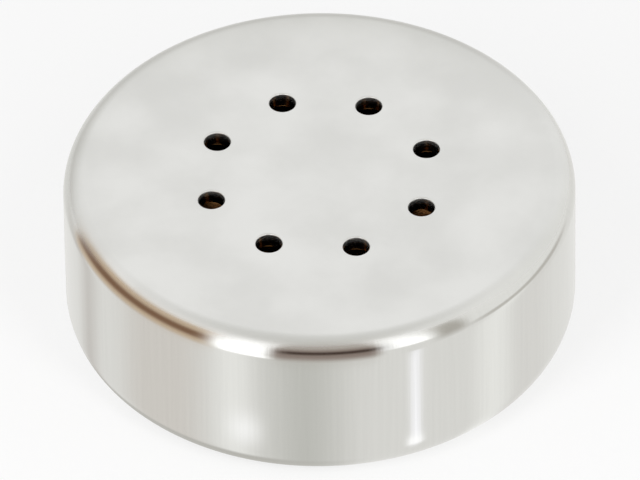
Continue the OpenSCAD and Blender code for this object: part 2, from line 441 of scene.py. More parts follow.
class Graph:
    """A node tree with short calls that add nodes and join their sockets."""

    def __init__(self, tree: Tree) -> None:
        """Takes the tree to build in."""
        self.tree = tree

    @classmethod
    def fresh(cls, owner: bpy.types.Material | bpy.types.World) -> "Graph":
        """Empties the node tree of a material or of the world.

        Args:
            owner: the material or the world.

        Returns:
            The graph of its empty tree.
        """
        owner.use_nodes = True
        owner.node_tree.nodes.clear()
        return cls(owner.node_tree)

    def add(self, kind: str, inputs: dict[int | str, object] | None = None, **settings: object) -> Node:
        """Adds a node, sets its properties and then feeds its inputs.

        Args:
            kind: type of the node.
            inputs: a socket or a plain value for each input, by its name or number.
            settings: the node's properties.

        Returns:
            The new node.
        """
        node = self.tree.nodes.new(kind)
        for name, value in settings.items():
            setattr(node, name, value)
        for key, value in (inputs or {}).items():
            self.feed(node.inputs[key], value)
        return node

    def feed(self, target: Socket, value: object) -> None:
        """Links a socket to an input, or writes a plain value on it.

        Args:
            target: the input.
            value: a socket, a number, a vector, or a colour without its alpha.
        """
        if isinstance(value, Socket):
            self.tree.links.new(value, target)
        elif isinstance(value, tuple) and len(target.default_value) == len(value) + 1:
            target.default_value = (*value, 1.0)
        else:
            target.default_value = value

    def math(self, operation: str, *values: object) -> Socket:
        """Result of a Math node."""
        return self.add("ShaderNodeMath", dict(enumerate(values)), operation=operation).outputs[0]

    def vector(self, operation: str, *values: object) -> Socket:
        """Result of a Vector Math node."""
        return self.add("ShaderNodeVectorMath", dict(enumerate(values)), operation=operation).outputs[0]

    def split(self, vector: Socket) -> Node:
        """Node whose outputs X, Y and Z are the parts of a vector."""
        return self.add("ShaderNodeSeparateXYZ", {0: vector})

    def noise(self, place: Socket, scale: object, detail: float, spread: float) -> Socket:
        """Value of a Noise texture at a place."""
        inputs = {"Vector": place, "Scale": scale, "Detail": detail, "Roughness": spread}
        return self.add("ShaderNodeTexNoise", inputs).outputs[0]

    def band(self, value: Socket, low: float, high: float) -> Socket:
        """Value mapped smoothly from the range low to high onto 0 to 1."""
        inputs = {0: value, 1: low, 2: high}
        return self.add("ShaderNodeMapRange", inputs, interpolation_type="SMOOTHSTEP").outputs[0]

    def tint(self, share: Socket, dark: Colour, light: Colour) -> Socket:
        """Colour between dark and light by a share from 0 to 1."""
        return self.add("ShaderNodeMix", {0: share, 6: dark, 7: light}, data_type="RGBA").outputs[2]

    def blend(self, share: Socket, start: object, end: object) -> Socket:
        """Number between start and end by a share from 0 to 1."""
        return self.add("ShaderNodeMix", {0: share, 2: start, 3: end}, data_type="FLOAT").outputs[0]

    def mixed(self, share: Socket, first: Socket, second: Socket) -> Socket:
        """Shader between two shaders by a share from 0 to 1."""
        return self.add("ShaderNodeMixShader", {0: share, 1: first, 2: second}).outputs[0]

    def place(self, group: Tree, **inputs: object) -> Node:
        """Adds a shared group with its inputs set or linked by name."""
        return self.add("ShaderNodeGroup", inputs, node_tree=group)


class Effect(Enum):
    """Shared surface effects, each a shader node group that is built once."""

    GRAIN = "surface_grain"
    DRAWN = "drawn_lines"
    LATHE = "lathe_lines"

    def group(self) -> Tree:
        """Finds the effect's node group, or builds it at its first use.

        Returns:
            A group that takes a position and puts out values only.
        """
        found = bpy.data.node_groups.get(self.value)
        if found:
            return found
        tree = bpy.data.node_groups.new(self.value, "ShaderNodeTree")
        tree.interface.new_socket("Position", in_out="INPUT", socket_type="NodeSocketVector")
        builders = {Effect.GRAIN: self._grain, Effect.DRAWN: self._drawn, Effect.LATHE: self._lathe}
        builders[self](tree)
        return tree

    @staticmethod
    def _sockets(tree: Tree, inputs: tuple[str, ...], outputs: tuple[str, ...]) -> tuple[Graph, Node]:
        """Gives a group its named numbers.

        Args:
            tree: the group.
            inputs: names of the numbers that it takes.
            outputs: names of the numbers that it puts out.

        Returns:
            The group's graph, and the node with its inputs.
        """
        for name in inputs:
            tree.interface.new_socket(name, in_out="INPUT", socket_type="NodeSocketFloat")
        for name in outputs:
            tree.interface.new_socket(name, in_out="OUTPUT", socket_type="NodeSocketFloat")
        graph = Graph(tree)
        return graph, graph.add("NodeGroupInput")

    @staticmethod
    def _grain(tree: Tree) -> None:
        """Two noises: soft clouds at the coarse scale and speckle at the fine one.

        Args:
            tree: the group to fill.
        """
        graph, given = Effect._sockets(tree, ("Coarse", "Fine"), ("Mottle", "Speckle"))
        mottle = graph.noise(given.outputs["Position"], given.outputs["Coarse"], detail=4.0, spread=0.5)
        speckle = graph.noise(given.outputs["Position"], given.outputs["Fine"], detail=5.0, spread=0.6)
        graph.add("NodeGroupOutput", {"Mottle": mottle, "Speckle": speckle})

    @staticmethod
    def _drawn(tree: Tree) -> None:
        """Lines along the axis: noise at the outward unit vector times a count, slow along Z.

        Args:
            tree: the group to fill.
        """
        graph, given = Effect._sockets(tree, ("Count", "Along"), ("Line",))
        place = given.outputs["Position"]
        away = graph.vector("NORMALIZE", graph.vector("MULTIPLY", place, (1.0, 1.0, 0.0)))
        around = graph.vector("MULTIPLY", away, given.outputs["Count"])
        along = graph.vector("MULTIPLY", place, (0.0, 0.0, 1.0))
        slow = graph.vector("MULTIPLY", along, given.outputs["Along"])
        line = graph.noise(graph.vector("ADD", around, slow), 1.0, detail=3.0, spread=0.6)
        graph.add("NodeGroupOutput", {"Line": line})

    @staticmethod
    def _lathe(tree: Tree) -> None:
        """Turning marks: noise at the distance from the axis and the height, both times a scale.

        Args:
            tree: the group to fill.
        """
        graph, given = Effect._sockets(tree, ("Scale",), ("Line",))
        place = given.outputs["Position"]
        flat = graph.vector("MULTIPLY", place, (1.0, 1.0, 0.0))
        reach = graph.add("ShaderNodeVectorMath", {0: flat}, operation="LENGTH").outputs["Value"]
        joined = graph.add("ShaderNodeCombineXYZ", {"X": reach, "Z": graph.split(place).outputs["Z"]})
        line = graph.noise(joined.outputs[0], given.outputs["Scale"], detail=3.0, spread=0.6)
        graph.add("NodeGroupOutput", {"Line": line})


@dataclass(frozen=True)
class Finish:
    """A surface: two tones in clouds, roughness that varies with them, and a fine relief.

    Attributes:
        name: name of the material.
        dark: colour in the darker clouds.
        light: colour in the lighter clouds.
        smooth: lowest roughness.
        rough: highest roughness.
        metallic: 1 for bare metal and 0 for the rest.
        clouds: clouds per metre.
        speckle: grains per metre.
        relief: height of the fine relief.
        cloud_low: noise below which a cloud is fully dark.
        cloud_high: noise above which it is fully light.
    """

    name: str
    dark: Colour
    light: Colour
    smooth: float
    rough: float
    metallic: float = 0.0
    clouds: float = 1500.0
    speckle: float = 20000.0
    relief: float = 0.002 * MM
    cloud_low: float = 0.3
    cloud_high: float = 0.7

    def material(self) -> bpy.types.Material:
        """Finds the material, or builds it at its first use.

        Returns:
            A node material that reads Object coordinates only.
        """
        found = bpy.data.materials.get(self.name)
        if found:
            return found
        material = bpy.data.materials.new(self.name)
        material.diffuse_color = (*self.light, 1.0)
        graph = Graph.fresh(material)
        shader = graph.add("ShaderNodeBsdfPrincipled", {"Metallic": self.metallic})
        graph.add("ShaderNodeOutputMaterial", {"Surface": shader.outputs[0]})
        position = graph.add("ShaderNodeTexCoord").outputs["Object"]
        grain = graph.place(Effect.GRAIN.group(), Position=position, Coarse=self.clouds, Fine=self.speckle)
        self.paint(graph, shader, position, grain)
        return material

    def mottle(self, graph: Graph, grain: Node) -> Socket:
        """Share of the lighter tone from 0 to 1."""
        return graph.band(grain.outputs["Mottle"], self.cloud_low, self.cloud_high)

    def paint(self, graph: Graph, shader: Node, position: Socket, grain: Node) -> None:
        """Joins the colour, roughness and relief to the shader.

        Args:
            graph: the material's graph.
            shader: its Principled BSDF.
            position: Object coordinates.
            grain: the placed grain group.
        """
        mottle = self.mottle(graph, grain)
        graph.feed(shader.inputs["Base Color"], graph.tint(mottle, self.dark, self.light))
        graph.feed(shader.inputs["Roughness"], graph.blend(mottle, self.rough, self.smooth))
        self.emboss(graph, shader, self.height(graph, position, grain))

    def height(self, graph: Graph, position: Socket, grain: Node) -> Socket:
        """Height of the relief from 0 to 1: the fine speckle."""
        return grain.outputs["Speckle"]

    def emboss(self, graph: Graph, shader: Node, height: Socket) -> None:
        """Joins a height to the shader's normal as a bump of the relief's real depth."""
        bump = graph.add("ShaderNodeBump", {"Strength": 1.0, "Distance": self.relief, "Height": height})
        graph.feed(shader.inputs["Normal"], bump.outputs[0])


@dataclass(frozen=True)
class DrawnCan(Finish):
    """Bright drawn aluminium: lines along the drawn wall and sheet speckle on the flat face.

    Attributes:
        face: height above which the flat face's own roughness holds.
        fade: height over which it fades out into the wall.
        face_rough: roughness that the face adds.
        lines: number of draw lines round the wall, per radian.
        along: changes of a line along the axis, per metre.
    """

    face: float = 2.09 * MM
    fade: float = 0.12 * MM
    face_rough: float = 0.22
    lines: float = 60.0
    along: float = 400.0

    def paint(self, graph: Graph, shader: Node, position: Socket, grain: Node) -> None:
        """Joins the colour, roughness and relief, with the face set apart from the wall.

        Args:
            graph: the material's graph.
            shader: its Principled BSDF.
            position: Object coordinates.
            grain: the placed grain group.
        """
        face = graph.band(graph.split(position).outputs["Z"], self.face - self.fade, self.face)
        drawn = graph.place(Effect.DRAWN.group(), Position=position, Count=self.lines, Along=self.along)
        tone = graph.blend(face, drawn.outputs["Line"], self.mottle(graph, grain))
        graph.feed(shader.inputs["Base Color"], graph.tint(tone, self.dark, self.light))
        base = graph.blend(tone, self.rough, self.smooth)
        graph.feed(shader.inputs["Roughness"], graph.math("MULTIPLY_ADD", face, self.face_rough, base))
        self.emboss(graph, shader, graph.blend(face, drawn.outputs["Line"], grain.outputs["Speckle"]))


@dataclass(frozen=True)
class TurnedMetal(Finish):
    """Turned and plated metal: fine marks round the axis.

    Attributes:
        marks: turning marks per metre.
    """

    marks: float = 30000.0

    def height(self, graph: Graph, position: Socket, grain: Node) -> Socket:
        """Height of the relief from 0 to 1: the turning marks."""
        return graph.place(Effect.LATHE.group(), Position=position, Scale=self.marks).outputs["Line"]


@dataclass(frozen=True)
class Laminate(Finish):
    """Glass laminate under solder resist: the weave stands out as a fine cross pattern.

    Attributes:
        pitch: distance between yarns.
        weave: height of the weave, where the speckle's is 1.
    """

    pitch: float = 0.16 * MM
    weave: float = 0.5

    def height(self, graph: Graph, position: Socket, grain: Node) -> Socket:
        """Height of the relief: the speckle plus a product of two sines at the yarn pitch.

        Args:
            graph: the material's graph.
            position: Object coordinates.
            grain: the placed grain group.

        Returns:
            The height.
        """
        scaled = graph.vector("MULTIPLY", position, (math.pi / self.pitch,) * 3)
        waves = graph.split(graph.vector("SINE", scaled))
        crossed = graph.math("MULTIPLY", waves.outputs["X"], waves.outputs["Y"])
        return graph.math("MULTIPLY_ADD", crossed, self.weave, grain.outputs["Speckle"])


@dataclass(frozen=True)
class SolderSkin(Finish):
    """Set solder: faint crystal cells in the shine.

    Attributes:
        cells: crystal cells per metre.
    """

    cells: float = 9000.0

    def height(self, graph: Graph, position: Socket, grain: Node) -> Socket:
        """Height of the relief from 0 to 1: distance to the nearest cell centre."""
        inputs = {"Vector": position, "Scale": self.cells}
        return graph.add("ShaderNodeTexVoronoi", inputs).outputs["Distance"]


CAN_METAL = DrawnCan("drawn_aluminium", (0.735, 0.735, 0.715), (0.79, 0.79, 0.77),
                     smooth=0.10, rough=0.20, metallic=1.0, clouds=900.0, speckle=26000.0,
                     relief=0.0006 * MM)
PLATED_BRASS = TurnedMetal("plated_brass", (0.60, 0.55, 0.46), (0.74, 0.70, 0.60),
                           smooth=0.18, rough=0.34, metallic=1.0)
GOLD_FILM = Finish("gold_film", (0.34, 0.15, 0.05), (0.52, 0.27, 0.10),
                   smooth=0.16, rough=0.30, metallic=1.0, clouds=2200.0)
SPACER_FILM = Finish("spacer_film", (0.72, 0.70, 0.62), (0.84, 0.82, 0.75), smooth=0.25, rough=0.40)
ELECTRET_FILM = Finish("electret_film", (0.66, 0.67, 0.66), (0.80, 0.81, 0.80), smooth=0.14, rough=0.28)
PLATE_METAL = Finish("rolled_plate", (0.58, 0.50, 0.34), (0.72, 0.64, 0.45),
                     smooth=0.22, rough=0.38, metallic=1.0)
HOLDER_PLASTIC = Finish("holder_plastic", (0.016, 0.016, 0.017), (0.030, 0.030, 0.031),
                        smooth=0.38, rough=0.55)
BOARD_LAMINATE = Laminate("board_laminate", (0.010, 0.085, 0.030), (0.016, 0.125, 0.045),
                          smooth=0.22, rough=0.36)
BOARD_COPPER = Finish("gold_flash_copper", (0.76, 0.54, 0.26), (0.84, 0.62, 0.33),
                      smooth=0.20, rough=0.34, metallic=1.0, clouds=1800.0)
MOULDING_BLACK = Finish("moulding_black", (0.014, 0.014, 0.015), (0.028, 0.028, 0.028),
                        smooth=0.45, rough=0.62, speckle=40000.0)
TINNED_METAL = Finish("tinned_metal", (0.66, 0.66, 0.64), (0.78, 0.78, 0.76),
                      smooth=0.22, rough=0.38, metallic=1.0)
CHIP_CERAMIC = Finish("chip_ceramic", (0.36, 0.26, 0.17), (0.46, 0.34, 0.23),
                      smooth=0.40, rough=0.58, speckle=45000.0)
SOLDER = SolderSkin("set_solder", (0.70, 0.70, 0.69), (0.79, 0.79, 0.78),
                    smooth=0.12, rough=0.22, metallic=1.0, clouds=1300.0, relief=0.001 * MM)

NODE_FINISHES = {
    "gate_track": BOARD_COPPER,
    "output_copper": BOARD_COPPER,
    "ground_copper": BOARD_COPPER,
    "transistor_body": MOULDING_BLACK,
    "gate_lead": TINNED_METAL,
    "drain_lead": TINNED_METAL,
    "source_lead": TINNED_METAL,
    "capacitor_1": CHIP_CERAMIC,
    "capacitor_1_ends": TINNED_METAL,
    "capacitor_2": CHIP_CERAMIC,
    "capacitor_2_ends": TINNED_METAL,
    "component_solder": SOLDER,
}


def set_piece(skin: Skin, node: str, finish: Finish) -> None:
    """Makes a skin into the piece that stands for a CAD node, riding on the one body.

    Args:
        skin: the closed surface.
        node: the CAD node that it replaces.
        finish: the finish that it gets.
    """
    piece = placed(f"{node}_fine", skin.mesh(f"{node}_fine"))
    piece.data.materials.append(finish.material())
    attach(piece, BODY)
    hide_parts(node)
    LOG.info("%s: %d faces, %s", piece.name, len(piece.data.polygons), finish.name)


@dataclass
class Can:
    """The drawn cup: pierced face, tight front edge, straight wall and curled rear rim.

    Attributes:
        sheet: thickness of the sheet.
        front_bend: outer radius of the front edge.
        inner_bend: inner radius of the front edge.
        rim_bend: outer radius of the curled rim.
        lip_radius: radius of the opening inside the rim.
        sheared_edge: radius of the rim's sheared edges.
        hole_edge: radius of the edges of the sound holes.
        front_steps: equal parts of the front edge.
        wall_steps: equal parts of the straight wall.
        rim_steps: equal parts of the curled rim's outer side, and its inner side has half as many.
        holes: the sound holes.
    """

    sheet: float = 0.20 * MM
    front_bend: float = 0.25 * MM
    inner_bend: float = 0.05 * MM
    rim_bend: float = 0.40 * MM
    lip_radius: float = 2.35 * MM
    sheared_edge: float = 0.03 * MM
    hole_edge: float = 0.02 * MM
    front_steps: int = 16
    wall_steps: int = 12
    rim_steps: int = 20
    holes: Piercing = Piercing(
        count=8, circle=1.33 * MM, radius=0.155 * MM, first=22.5, sectors=8, margin=0.17 * MM)

    def profile(self) -> Array:
        """Section of the sheet from the face's upper side, down the wall and back up inside.

        Returns:
            The section's points as (radius, height).
        """
        radius, low, high = levels("can")
        under = high - self.sheet
        front = (radius - self.front_bend, high - self.front_bend)
        corner = (radius - self.sheet - self.inner_bend, under - self.inner_bend)
        bend = (radius - self.rim_bend, low + self.rim_bend)
        edge = self.sheared_edge
        lip = self.lip_radius + edge
        return np.concatenate((
            run((self.holes.outer, high), (front[0], high))[:-1],
            arc(front, self.front_bend, 90.0, 0.0, self.front_steps),
            run((radius, front[1]), (radius, bend[1]), self.wall_steps)[1:-1],
            arc(bend, self.rim_bend, 0.0, -90.0, self.rim_steps),
            arc((lip, low + edge), edge, -90.0, -180.0, EDGE_STEPS),
            arc((lip, low + self.sheet - edge), edge, 180.0, 90.0, EDGE_STEPS),
            arc(bend, self.rim_bend - self.sheet, -90.0, 0.0, self.rim_steps // 2),
            arc(corner, self.inner_bend, 0.0, 90.0, EDGE_STEPS),
            run((corner[0], under), (self.holes.outer, under))[1:],
        ))

    def build(self) -> None:
        """Builds the cup with its holes and dresses it."""
        skin = pierced_plate(self.profile(), self.holes, self.hole_edge)
        set_piece(skin, "can", CAN_METAL)


@dataclass
class SoundCell:
    """The stretched film on its ring, the spacer, and the pierced plate under its charged film.

    Attributes:
        ring_bore: inner radius of the film's ring.
        spacer_bore: inner radius of the spacer.
        corner: radius of the ring's corners.
        film_corner: radius of the corners of the films and the spacer.
        plate_corner: radius of the plate's corners.
        holes: the air holes through the plate and its film.
    """

    ring_bore: float = 2.24 * MM
    spacer_bore: float = 2.13 * MM
    corner: float = 0.03 * MM
    film_corner: float = 0.002 * MM
    plate_corner: float = 0.012 * MM
    holes: Piercing = Piercing(
        count=6, circle=1.20 * MM, radius=0.20 * MM, first=30.0, sectors=6, margin=0.25 * MM)

    def build(self) -> None:
        """Builds the five pieces from the film's ring down and dresses them."""
        ring = ring_skin("diaphragm_ring", self.ring_bore, self.corner)
        set_piece(ring, "diaphragm_ring", PLATED_BRASS)
        film = ring_skin("diaphragm", 0.0, self.film_corner)
        set_piece(film, "diaphragm", GOLD_FILM)
        spacer = ring_skin("spacer", self.spacer_bore, self.film_corner)
        set_piece(spacer, "spacer", SPACER_FILM)
        charged = plate_skin("electret_film", self.holes, self.film_corner, self.film_corner)
        set_piece(charged, "electret_film", ELECTRET_FILM)
        plate = plate_skin("back_plate", self.holes, self.plate_corner, self.plate_corner)
        set_piece(plate, "back_plate", PLATE_METAL)


@dataclass
class Chamber:
    """The moulded holder with its ledge, and the ring that joins the plate to the board.

    Attributes:
        holder_bore: inner radius of the holder under its ledge.
        seat_bore: inner radius of the holder round the plate.
        ring_bore: inner radius of the ring.
        corner: radius of the corners.
        ledge_steps: equal parts of the ledge.
    """

    holder_bore: float = 2.18 * MM
    seat_bore: float = 2.36 * MM
    ring_bore: float = 1.85 * MM
    corner: float = 0.03 * MM
    ledge_steps: int = 2

    def profile(self) -> Array:
        """Section of the holder: a rectangle with a step for the plate, round at its corners.

        Returns:
            The closed section's points as (radius, height).
        """
        radius, low, high = levels("plate_holder")
        ledge = levels("back_plate")[1]
        c = self.corner
        section = np.concatenate((
            arc((radius - c, low + c), c, -90.0, 0.0),
            arc((radius - c, high - c), c, 0.0, 90.0),
            arc((self.seat_bore + c, high - c), c, 90.0, 180.0),
            run((self.seat_bore, ledge), (self.holder_bore + c, ledge), self.ledge_steps),
            arc((self.holder_bore + c, ledge - c), c, 90.0, 180.0),
            arc((self.holder_bore + c, low + c), c, 180.0, 270.0),
        ))
        return np.concatenate((section, section[:1]))

    def build(self) -> None:
        """Builds the holder and the ring and dresses them."""
        holder = Skin().add(revolved(self.profile()))
        set_piece(holder, "plate_holder", HOLDER_PLASTIC)
        ring = ring_skin("gate_ring", self.ring_bore, self.corner)
        set_piece(ring, "gate_ring", PLATED_BRASS)


@dataclass
class Board:
    """The round board that closes the can, its parts and the two solder terminals.

    Attributes:
        corner: radius of the corners at the board's rim.
        hole_edge: radius of the edges of the post holes.
        posts: the holes for the two posts.
        dome_steps: equal parts of a terminal's dome.
        base_steps: equal parts of a terminal's flat base.
        dome_columns: columns round a terminal.
    """

    corner: float = 0.012 * MM
    hole_edge: float = 0.003 * MM
    posts: Piercing = Piercing(
        count=2, circle=1.10 * MM, radius=0.15 * MM, first=0.0, sectors=8, margin=0.25 * MM)
    dome_steps: int = 20
    base_steps: int = 6
    dome_columns: int = 96

    def _dome(self, node: str) -> Skin:
        """Spherical cap under a flat base: the ball's radius is (base^2 + rise^2) / (2 rise).

        Args:
            node: the CAD node of the terminal.

        Returns:
            The skin of the cap.
        """
        low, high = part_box(node)
        base = (high.x - low.x) / 2.0
        rise = high.z - low.z
        ball = (base * base + rise * rise) / (2.0 * rise)
        half = math.degrees(math.asin(base / ball))
        cap = arc((0.0, low.z + ball), ball, -90.0, half - 90.0, self.dome_steps)
        cap[0, 0] = 0.0
        profile = np.concatenate((cap, run(cap[-1], (0.0, high.z), self.base_steps)[1:]))
        grid = revolved(profile, self.dome_columns)
        grid[..., 0] += (high.x + low.x) / 2.0
        return Skin().add(grid)

    def build(self) -> None:
        """Builds the board and the terminals and dresses them, and then the parts."""
        board = plate_skin("circuit_board", self.posts, self.corner, self.hole_edge)
        set_piece(board, "circuit_board", BOARD_LAMINATE)
        for node in ("output_terminal", "ground_terminal"):
            set_piece(self._dome(node), node, SOLDER)
        self.dress()

    def dress(self) -> None:
        """Gives their finishes to the solids that keep their own mesh."""
        for node, finish in NODE_FINISHES.items():
            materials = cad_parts[node].data.materials
            materials.clear()
            materials.append(finish.material())
            LOG.info("%s: %s", node, finish.name)


class Tone(Enum):
    """Colours of the painted surround, where 1 is white: painted reflections, lamp highlights and shade
    among them.
    """

    WHITE = (1.0, 1.0, 1.0)
    # Painted lamp highlight, in place of the strip lamps that reflections don't see.
    LAMP_HIGHLIGHT = (1.5, 1.5, 1.5)
    PALE = (0.91, 0.91, 0.89)
    CEILING = (0.72, 0.72, 0.70)
    CEILING_DIM = (0.60, 0.585, 0.55)
    # Painted reflection of the dark camera side, which the front edge shows as a dark brown line.
    SHADE = (0.50, 0.46, 0.42)
    DIM_BROWN = (0.29, 0.23, 0.20)
    DEEP_BROWN = (0.045, 0.025, 0.017)
    TAN = (0.62, 0.48, 0.34)
    BARK = (0.22, 0.12, 0.068)
    WARM_GREY = (0.50, 0.48, 0.44)
    FAR_GREY = (0.77, 0.77, 0.75)
    FAR_LINE = (0.59, 0.58, 0.56)
    # Painted reflection of the table: lighter and darker stripes that the wall shows.
    TABLE = (0.86, 0.855, 0.835)
    TABLE_LIGHT = (0.99, 0.99, 0.97)
    TABLE_GREY = (0.83, 0.82, 0.80)
    TABLE_WARM = (0.765, 0.735, 0.70)
    TABLE_DIM = (0.72, 0.70, 0.67)
    TABLE_BROWN = (0.66, 0.635, 0.61)
    TABLE_DARK = (0.64, 0.64, 0.61)
    TABLE_REAR = (0.60, 0.60, 0.58)
    FOOT_SHADE = (0.58, 0.57, 0.54)
    # Painted highlights on the wall: a soft blob, a narrow streak and a bright spot at the rim.
    HIGHLIGHT_BLOB = (1.20, 1.20, 1.21)
    HIGHLIGHT_STREAK = (1.26, 1.26, 1.32)
    HIGHLIGHT_SPOT = (1.35, 1.35, 1.37)


# Far end of the floor fans.
FAR = 80.0 * MM


@dataclass(frozen=True)
class Patch:
    """A soft-edged patch of the painted surround that the bright metal reflects.

    Attributes:
        azimuth: middle of the patch in degrees, 0 on the card's own side and 90 to the right of a
            viewer there. On a fan it is the wall's angle.
        level: middle of the patch the other way: elevation in degrees, height or reach.
        half_width: half of its width in degrees.
        half_height: half of its extent the other way.
        tone: colour of the patch.
        soft_width: width over which its side edges fade.
        soft_height: extent over which its other edges fade.
    """

    azimuth: float
    level: float
    half_width: float
    half_height: float
    tone: Tone
    soft_width: float
    soft_height: float

    @classmethod
    def stripe(cls, azimuth: float, half_width: float, tone: Tone, soft_width: float) -> "Patch":
        """Patch that runs all along a floor fan."""
        return cls(azimuth, 0.0, half_width, FAR, tone, soft_width, 1.0 * MM)

    @staticmethod
    def _fade(inside: Array, soft: float) -> Array:
        """Smooth step 3 t^2 - 2 t^3 from 0 to 1 across an edge of a softness."""
        t = np.clip(inside / soft + 0.5, 0.0, 1.0)
        return t * t * (3.0 - 2.0 * t)

    def cover(self, azimuth: Array, level: Array) -> Array:
        """Share of the patch at each point: the product of two smooth steps down at its edges.

        Args:
            azimuth: azimuths of the points in degrees.
            level: their elevations, heights or reaches.

        Returns:
            Shares from 0 to 1.
        """
        turn = np.abs((azimuth - self.azimuth + HALF_TURN) % FULL_TURN - HALF_TURN)
        side = self._fade(self.half_width - turn, self.soft_width)
        rise = self._fade(self.half_height - np.abs(level - self.level), self.soft_height)
        return (side * rise)[..., None]


@dataclass(frozen=True)
class Surround:
    """A painted card round the capsule that only reflections see.

    Attributes:
        name: name of the object.
        base: its colour outside the patches, or None where it is clear there.
        patches: patches painted one over the other.
    """

    name: str
    base: Tone | None
    patches: tuple[Patch, ...]

    def paint(self, azimuth: Array, level: Array) -> Array:
        """Lays the patches over the base: each one replaces its share of what lies below it.

        Args:
            azimuth: azimuth of each point in degrees.
            level: elevation, height or reach of each point.

        Returns:
            Red, green, blue and cover of each point.
        """
        cover = np.full(azimuth.shape + (1,), 1.0 if self.base else 0.0)
        colour = cover * np.array((self.base or Tone.WHITE).value)
        for patch in self.patches:
            share = patch.cover(azimuth, level)
            colour += share * (np.array(patch.tone.value) - colour)
            cover += share * (1.0 - cover)
        return np.concatenate((colour / np.maximum(cover, TRACE), cover), axis=-1)

    def material(self) -> bpy.types.Material:
        """Makes the card's material, which glows in the painted colour where the card is covered.

        Returns:
            The material.
        """
        material = bpy.data.materials.new(self.name)
        graph = Graph.fresh(material)
        paint = graph.add("ShaderNodeAttribute", attribute_name="tone")
        glow = graph.add("ShaderNodeEmission", {"Color": paint.outputs["Color"]}).outputs[0]
        clear = graph.add("ShaderNodeBsdfTransparent").outputs[0]
        surface = graph.mixed(paint.outputs["Alpha"], clear, glow)
        graph.add("ShaderNodeOutputMaterial", {"Surface": surface})
        return material

    def build(self, grid: Array, azimuth: Array, level: Array) -> None:
        """Makes the card from its grid and paints its points.

        Args:
            grid: points of the card, rows by columns by 3.
            azimuth: azimuth of each point in degrees.
            level: elevation, height or reach of each point.
        """
        mesh = bpy.data.meshes.new(self.name)
        mesh.from_pydata(grid.reshape(-1, 3), [], cells(*grid.shape[:2]).tolist())
        tones = mesh.attributes.new("tone", "FLOAT_COLOR", "POINT")
        tones.data.foreach_set("color", self.paint(azimuth, level).astype(np.float32).ravel())
        mesh.materials.append(self.material())
        card = placed(self.name, mesh)
        card.visible_camera = False
        card.visible_diffuse = False
        card.visible_shadow = False
        card.visible_transmission = False
        LOG.info("%s: %d patches", self.name, len(self.patches))


@dataclass(frozen=True)
class Lamp:
    """A soft strip of light that stands on the floor and faces the capsule.

    Attributes:
        name: name of the lamp.
        azimuth: direction from the capsule in degrees, 0 towards the camera side.
        width: width of the strip.
        distance: distance from the capsule's axis.
        low: height of its lower end.
        high: height of its upper end.
        glow: brightness of its surface, where 1 is white.
    """

    name: str
    azimuth: float
    width: float
    distance: float = 40.0 * MM
    low: float = 1.0 * MM
    high: float = 70.0 * MM
    glow: float = 3.5

    def build(self) -> None:
        """Adds the strip as an area lamp; its power is glow times area times pi."""
        light = bpy.data.lights.new(self.name, "AREA")
        light.shape = "RECTANGLE"
        light.size = self.width
        light.size_y = self.high - self.low
        light.energy = self.glow * light.size * light.size_y * math.pi
        lamp = placed(self.name, light)
        away = outward(self.azimuth)
        lamp.location = away * self.distance + UP * (self.low + self.high) / 2.0
        lamp.rotation_euler = Vector(away).to_track_quat("Z", "Y").to_euler()
        lamp.visible_camera = False
        lamp.visible_glossy = False
        LOG.info("%s: lamp", self.name)


LAMPS = (Lamp("strip_left", -35.0, 18.5 * MM), Lamp("strip_right", 40.0, 13.4 * MM))

# Painted reflections from above: a dimmer top, a paler right side and the painted highlights of the two
# lamps.
DOME = Surround("reflection_dome", Tone.WHITE, (
    Patch(0.0, 90.0, 180.0, 30.0, Tone.CEILING, 1.0, 26.0),
    Patch(0.0, 74.0, 40.0, 14.0, Tone.CEILING_DIM, 30.0, 16.0),
    Patch(85.0, 20.0, 52.0, 40.0, Tone.PALE, 20.0, 30.0),
    Patch(-32.0, 22.0, 10.5, 40.0, Tone.LAMP_HIGHLIGHT, 3.0, 12.0),
    Patch(36.0, 32.0, 7.0, 34.0, Tone.LAMP_HIGHLIGHT, 3.0, 12.0),
))
# Painted reflections that the front edge shows: the dark camera side, a brown line on the left and grey
# lines on the right and behind.
SCREEN = Surround("reflection_screen", None, (
    Patch(1.0, 2.46 * MM, 13.6, 0.93 * MM, Tone.SHADE, 4.0, 0.90 * MM),
    Patch(1.0, 2.12 * MM, 13.3, 0.40 * MM, Tone.DIM_BROWN, 5.0, 0.48 * MM),
    Patch(2.0, 2.18 * MM, 12.6, 0.11 * MM, Tone.DEEP_BROWN, 6.0, 0.21 * MM),
    Patch(-56.5, 2.20 * MM, 26.5, 0.74 * MM, Tone.TAN, 7.0, 0.66 * MM),
    Patch(-56.0, 2.08 * MM, 25.5, 0.23 * MM, Tone.BARK, 7.0, 0.34 * MM),
    Patch(34.8, 2.36 * MM, 4.2, 0.64 * MM, Tone.WARM_GREY, 5.0, 0.64 * MM),
    Patch(62.0, 1.785 * MM, 19.0, 0.085 * MM, Tone.WARM_GREY, 13.0, 0.21 * MM),
    Patch(-155.0, 2.20 * MM, 65.0, 0.80 * MM, Tone.FAR_GREY, 45.0, 0.90 * MM),
    Patch(-155.0, 2.22 * MM, 68.0, 0.16 * MM, Tone.FAR_LINE, 45.0, 0.24 * MM),
))
